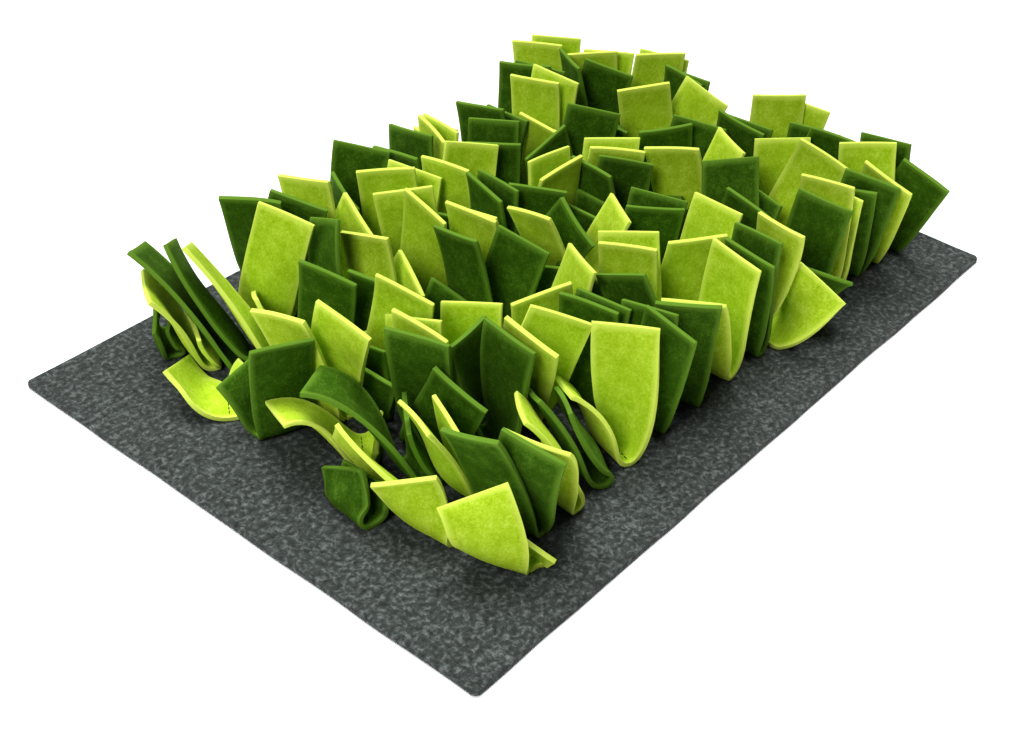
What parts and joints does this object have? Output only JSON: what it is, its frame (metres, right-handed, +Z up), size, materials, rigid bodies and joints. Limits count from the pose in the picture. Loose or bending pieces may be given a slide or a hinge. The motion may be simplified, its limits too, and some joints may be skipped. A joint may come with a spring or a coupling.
{
  "type": "snuffle mat",
  "caption": "Flat rectangular felt mat carrying a dense upright pile of folded felt strips, for hiding dry food that a dog or cat noses out.",
  "frame": {"origin": "middle of the base's underside, where it rests on the surface", "axes": "+X along the mat's longer side, +Y across it towards the back edge, +Z up through the pile"},
  "size_m": [0.6, 0.4, 0.1032],
  "materials": {
    "base_felt": "matte",
    "lime_felt": "matte",
    "dark_felt": "matte"
  },
  "bodies": {
    "root": {"base_mat": "base_felt", "strip_01_lime": "lime_felt", "strip_02_dark": "dark_felt", "strip_03_lime": "lime_felt", "strip_04_dark": "dark_felt", "strip_05_lime": "lime_felt", "strip_06_dark": "dark_felt", "strip_07_dark": "dark_felt", "strip_08_lime": "lime_felt", "strip_09_dark": "dark_felt", "strip_10_lime": "lime_felt", "strip_11_dark": "dark_felt", "strip_12_lime": "lime_felt", "strip_13_dark": "dark_felt", "strip_14_lime": "lime_felt", "strip_15_dark": "dark_felt", "strip_16_lime": "lime_felt", "strip_17_lime": "lime_felt", "strip_18_dark": "dark_felt", "strip_19_dark": "dark_felt", "strip_20_dark": "dark_felt", "strip_21_lime": "lime_felt", "strip_22_lime": "lime_felt", "strip_23_lime": "lime_felt", "strip_24_dark": "dark_felt", "strip_25_lime": "lime_felt", "strip_26_dark": "dark_felt", "strip_27_dark": "dark_felt", "strip_28_lime": "lime_felt", "strip_29_lime": "lime_felt", "strip_30_lime": "lime_felt", "strip_31_lime": "lime_felt", "strip_32_dark": "dark_felt", "strip_33_lime": "lime_felt", "strip_34_lime": "lime_felt", "strip_35_dark": "dark_felt", "strip_36_lime": "lime_felt", "strip_37_dark": "dark_felt", "strip_38_dark": "dark_felt", "strip_39_lime": "lime_felt", "strip_40_dark": "dark_felt", "strip_41_lime": "lime_felt", "strip_42_lime": "lime_felt", "strip_43_dark": "dark_felt", "strip_44_lime": "lime_felt", "strip_45_dark": "dark_felt", "strip_46_lime": "lime_felt", "strip_47_dark": "dark_felt", "strip_48_lime": "lime_felt", "strip_49_dark": "dark_felt", "strip_50_lime": "lime_felt", "strip_51_lime": "lime_felt", "strip_52_dark": "dark_felt", "strip_53_lime": "lime_felt", "strip_54_dark": "dark_felt", "strip_55_lime": "lime_felt", "strip_56_dark": "dark_felt", "strip_57_lime": "lime_felt", "strip_58_lime": "lime_felt", "strip_59_dark": "dark_felt"}
  },
  "joints": []
}
